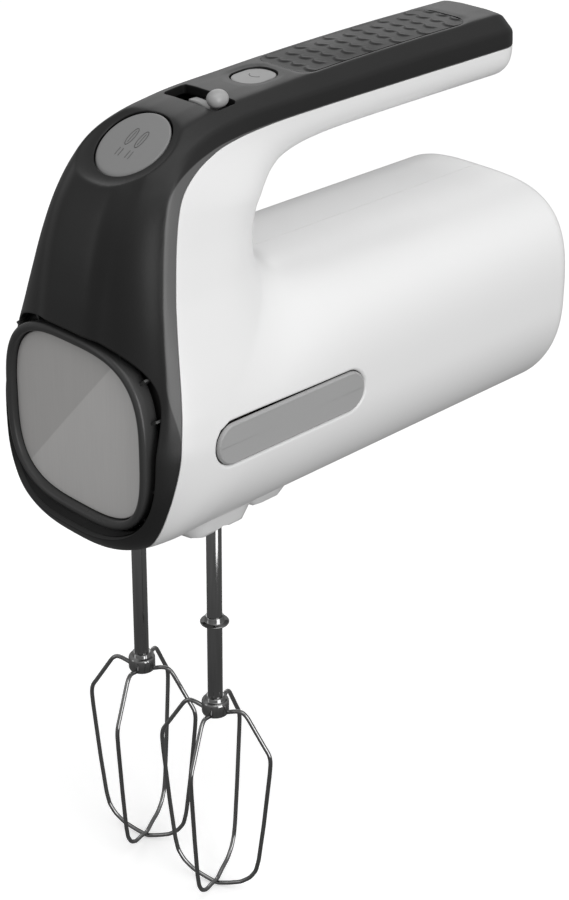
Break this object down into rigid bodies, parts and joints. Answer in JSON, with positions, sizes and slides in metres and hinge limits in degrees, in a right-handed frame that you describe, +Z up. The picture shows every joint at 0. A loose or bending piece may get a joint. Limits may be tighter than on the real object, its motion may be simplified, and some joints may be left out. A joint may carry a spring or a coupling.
{
  "type": "hand mixer",
  "caption": "Hand mixer with an open-ended handle, white body, dark nose and handle cover, ejector, speed lever, turbo key and two wire beaters driven by a worm and wheels.",
  "frame": {"origin": "middle of the footprint, level with the lowest point of the beaters", "axes": "+Z up along the beaters, -Y towards the nose, +Y towards the heel, X across"},
  "size_m": [0.0896, 0.2126, 0.3076],
  "materials": {
    "housing_white": "satin white with a soft gloss",
    "cover_charcoal": "fine matte texture",
    "badge_metal": "satin, finely brushed",
    "key_grey": "matte grey",
    "knob_light": "matte light grey",
    "grip_rubber": "soft touch",
    "beater_chrome": "polished",
    "plain_steel": "zinc plated",
    "bearing_plastic": "moulded",
    "bearing_brass": "sintered",
    "motor_aluminium": "cast",
    "core_iron": "laminated",
    "winding_copper": "enamelled copper",
    "carbon": "pressed carbon",
    "gear_nylon": "moulded nylon",
    "switch_black": "moulded",
    "board_green": "coated board"
  },
  "bodies": {
    "root": {"left_housing": "housing_white", "right_housing": "housing_white", "top_cover": "cover_charcoal", "front_bezel": "cover_charcoal", "badge_plate": "badge_metal", "side_plates": "key_grey", "grip_pad": "grip_rubber", "cord_gland": "grip_rubber", "heel_feet": "grip_rubber", "case_screws": "plain_steel", "gear_carrier": "bearing_plastic", "front_bush": "bearing_brass", "rear_bracket": "motor_aluminium", "stator_core": "core_iron", "field_coils": "winding_copper", "brush_holders": "bearing_brass", "carbon_brushes": "carbon", "ejector_guide": "bearing_plastic", "eject_spring": "plain_steel", "lever_pin": "plain_steel", "turbo_spring": "plain_steel", "turbo_switch": "switch_black", "control_board": "board_green", "speed_switch": "switch_black"},
    "motor": {"armature_shaft": "plain_steel", "armature_core": "core_iron", "commutator": "winding_copper", "worm": "bearing_brass", "cooling_fan": "switch_black"},
    "left_wheel": {"left_gear": "gear_nylon"},
    "right_wheel": {"right_gear": "gear_nylon"},
    "ejector": {"eject_button": "key_grey", "ejector_fork": "bearing_plastic"},
    "left_drive": {"left_push_cup": "gear_nylon"},
    "right_drive": {"right_push_cup": "gear_nylon"},
    "left_beater": {"left_shaft": "beater_chrome", "left_hub": "beater_chrome", "left_wire_a": "beater_chrome", "left_wire_b": "beater_chrome"},
    "right_beater": {"right_shaft": "beater_chrome", "right_hub": "beater_chrome", "right_collar": "beater_chrome", "right_wire_a": "beater_chrome", "right_wire_b": "beater_chrome"},
    "speed_control": {"speed_lever": "key_grey", "speed_knob": "knob_light"},
    "turbo_key": {"turbo_button": "key_grey"}
  },
  "joints": [
    {"name": "motor_spin", "type": "hinge", "parent": "root", "child": "motor", "pos_m": [0, -0.05788, 0.19], "axis": [0, 1, 0], "continuous": true},
    {"name": "left_gear_spin", "type": "hinge", "parent": "root", "child": "left_wheel", "pos_m": [-0.02, -0.05788, 0.19], "axis": [0, 0, 1], "continuous": true},
    {"name": "right_gear_spin", "type": "hinge", "parent": "root", "child": "right_wheel", "pos_m": [0.02, -0.05788, 0.19], "axis": [0, 0, 1], "continuous": true},
    {"name": "eject_press", "type": "slide", "parent": "root", "child": "ejector", "axis": [0, 0, -1], "range_m": [0, 0.007], "stiffness_N_per_m": 600, "springref_m": -0.004, "deforming": ["eject_spring"]},
    {"name": "left_beater_spin", "type": "hinge", "parent": "ejector", "child": "left_drive", "pos_m": [-0.02, -0.05788, 0.204], "axis": [0, 0, 1], "continuous": true},
    {"name": "right_beater_spin", "type": "hinge", "parent": "ejector", "child": "right_drive", "pos_m": [0.02, -0.05788, 0.204], "axis": [0, 0, 1], "continuous": true},
    {"name": "left_beater_pull", "type": "slide", "parent": "left_drive", "child": "left_beater", "axis": [0, 0, -1], "range_m": [0, 0.05]},
    {"name": "right_beater_pull", "type": "slide", "parent": "right_drive", "child": "right_beater", "axis": [0, 0, -1], "range_m": [0, 0.05]},
    {"name": "speed_sweep", "type": "hinge", "parent": "root", "child": "speed_control", "pos_m": [0, -0.04488, 0.28], "axis": [0, -1, 0], "range_deg": [0, 30]},
    {"name": "turbo_press", "type": "slide", "parent": "root", "child": "turbo_key", "axis": [0, 0, -1], "range_m": [0, 0.002], "stiffness_N_per_m": 500, "springref_m": -0.002, "deforming": ["turbo_spring"]}
  ],
  "couplings": [
    {"joint": "left_gear_spin", "follows": "motor_spin", "ratio": -0.041667},
    {"joint": "right_gear_spin", "follows": "motor_spin", "ratio": 0.041667},
    {"joint": "left_beater_spin", "follows": "motor_spin", "ratio": -0.041667},
    {"joint": "right_beater_spin", "follows": "motor_spin", "ratio": 0.041667}
  ]
}
